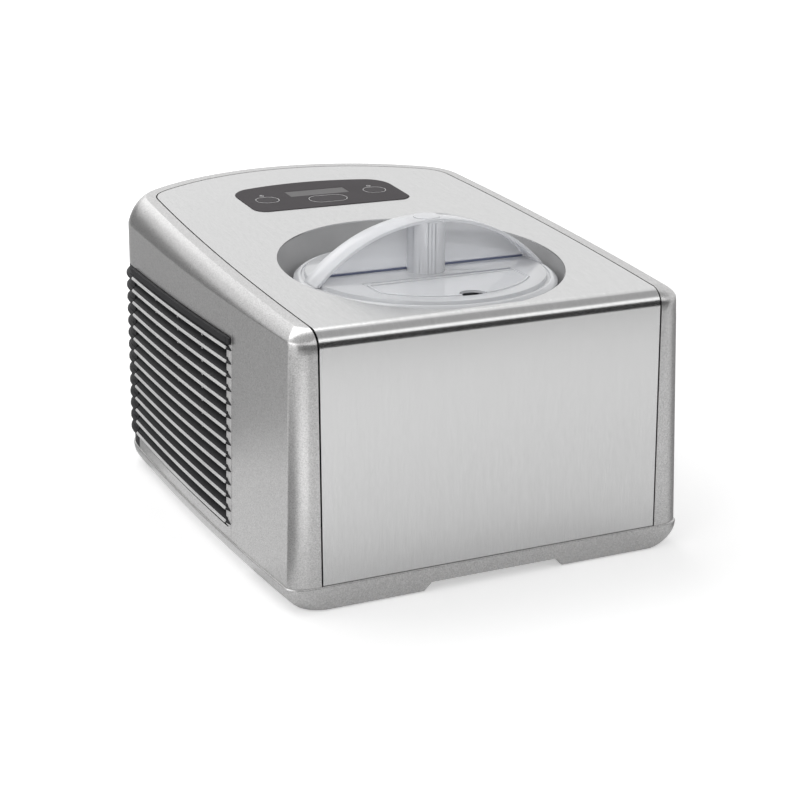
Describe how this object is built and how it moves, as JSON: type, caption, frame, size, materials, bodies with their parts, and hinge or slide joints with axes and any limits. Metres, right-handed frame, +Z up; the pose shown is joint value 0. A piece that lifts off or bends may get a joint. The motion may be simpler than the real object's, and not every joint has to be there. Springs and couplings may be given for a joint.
{
  "type": "ice cream maker",
  "caption": "Countertop compressor ice cream maker with a lift-out bowl, clear lid with a mix-in flap, louvred side grilles and a small control panel.",
  "frame": {"origin": "on the floor, at the middle of the footprint of the whole part", "axes": "+X to the right seen from the front, +Y to the back, +Z up"},
  "size_m": [0.3088, 0.395, 0.2296],
  "materials": {
    "silver_plastic": "silver speckle paint, satin",
    "brushed_sheet": "grain across the front to back direction",
    "black_plastic": "fine matte texture",
    "rubber": "matte",
    "recess_grey": "smooth satin",
    "panel_gloss": "semi-gloss",
    "display_window": "smooth window",
    "display_module": "plain",
    "circuit_board": "solder mask",
    "clear_plastic": "clear moulded plastic",
    "aluminium": "spun, satin",
    "copper": "bare tube",
    "foam": "rigid foam",
    "compressor_black": "black enamel",
    "motor_steel": "plated can",
    "gear_white": "acetal",
    "paddle_white": "smooth",
    "gearbox_grey": "moulded",
    "shaft_steel": "ground"
  },
  "bodies": {
    "housing": {"base_tray": "silver_plastic", "rubber_feet": "rubber", "outer_shell": "silver_plastic", "front_top_panel": "brushed_sheet", "left_grille": "black_plastic", "right_grille": "black_plastic", "rear_cover": "black_plastic", "rear_louvre": "black_plastic", "cord_gland": "black_plastic", "well_collar": "recess_grey", "control_bezel": "panel_gloss", "lcd_window": "display_window", "lcd_module": "display_module", "control_board": "circuit_board", "evaporator_well": "aluminium", "evaporator_coil": "copper", "foam_jacket": "foam", "compressor": "compressor_black", "compressor_grommets": "rubber", "condenser": "aluminium", "fan_shroud": "black_plastic", "fan_motor": "motor_steel", "filter_drier": "copper", "refrigerant_line": "copper", "drive_motor": "motor_steel", "gearbox_housing": "gearbox_grey", "gearbox_cover": "gearbox_grey", "power_board": "circuit_board", "run_capacitor": "motor_steel", "base_screws": "shaft_steel"},
    "fan_blades": {"fan_blades": "gearbox_grey"},
    "motor_pinion": {"motor_pinion": "gear_white"},
    "idler_gear": {"idler_gear": "gear_white"},
    "output_drive": {"output_gear": "gear_white", "drive_shaft": "shaft_steel"},
    "paddle": {"paddle": "paddle_white"},
    "bowl": {"bowl": "aluminium"},
    "bowl_handle": {"bowl_handle": "aluminium"},
    "lid": {"lid": "clear_plastic"},
    "mix_in_flap": {"mix_in_flap": "clear_plastic"},
    "button_left": {"button_left": "panel_gloss"},
    "button_middle": {"button_middle": "panel_gloss"},
    "button_right": {"button_right": "panel_gloss"}
  },
  "joints": [
    {"name": "fan_spin", "type": "hinge", "parent": "housing", "child": "fan_blades", "pos_m": [-0.1, 0.08, 0.084], "axis": [1, 0, 0], "continuous": true},
    {"name": "output_spin", "type": "hinge", "parent": "housing", "child": "output_drive", "pos_m": [0, -0.088, 0.0175], "axis": [0, 0, 1], "continuous": true},
    {"name": "idler_spin", "type": "hinge", "parent": "housing", "child": "idler_gear", "pos_m": [-0.05109, -0.04312, 0.0175], "axis": [0, 0, 1], "continuous": true},
    {"name": "pinion_spin", "type": "hinge", "parent": "housing", "child": "motor_pinion", "pos_m": [-0.09766, -0.0022, 0.026], "axis": [0, 0, 1], "continuous": true},
    {"name": "paddle_spin", "type": "hinge", "parent": "bowl", "child": "paddle", "pos_m": [0, -0.088, 0.0667], "axis": [0, 0, 1], "continuous": true},
    {"name": "bowl_lift", "type": "slide", "parent": "housing", "child": "bowl", "axis": [0, 0, 1], "range_m": [0, 0.15]},
    {"name": "lid_lift", "type": "slide", "parent": "bowl", "child": "lid", "axis": [0, 0, 1], "range_m": [0, 0.175]},
    {"name": "handle_swing", "type": "hinge", "parent": "bowl", "child": "bowl_handle", "pos_m": [0, -0.088, 0.1801], "axis": [1, 0, 0], "range_deg": [0, 90.5]},
    {"name": "flap_hinge", "type": "hinge", "parent": "lid", "child": "mix_in_flap", "pos_m": [0, -0.1064, 0.19], "axis": [-1, 0, 0], "range_deg": [0, 92]},
    {"name": "button_left_press", "type": "slide", "parent": "housing", "child": "button_left", "axis": [0, 0.0785, -0.9969], "range_m": [0, 0.0008], "stiffness_N_per_m": 600},
    {"name": "button_middle_press", "type": "slide", "parent": "housing", "child": "button_middle", "axis": [0, 0.0785, -0.9969], "range_m": [0, 0.0008], "stiffness_N_per_m": 600},
    {"name": "button_right_press", "type": "slide", "parent": "housing", "child": "button_right", "axis": [0, 0.0785, -0.9969], "range_m": [0, 0.0008], "stiffness_N_per_m": 600}
  ],
  "couplings": [
    {"joint": "idler_spin", "follows": "output_spin", "ratio": -3.8571},
    {"joint": "pinion_spin", "follows": "output_spin", "ratio": 16.071},
    {"joint": "paddle_spin", "follows": "output_spin", "ratio": 1},
    {"joint": "handle_swing", "follows": "lid_lift", "rad_per_m": 8.976}
  ]
}
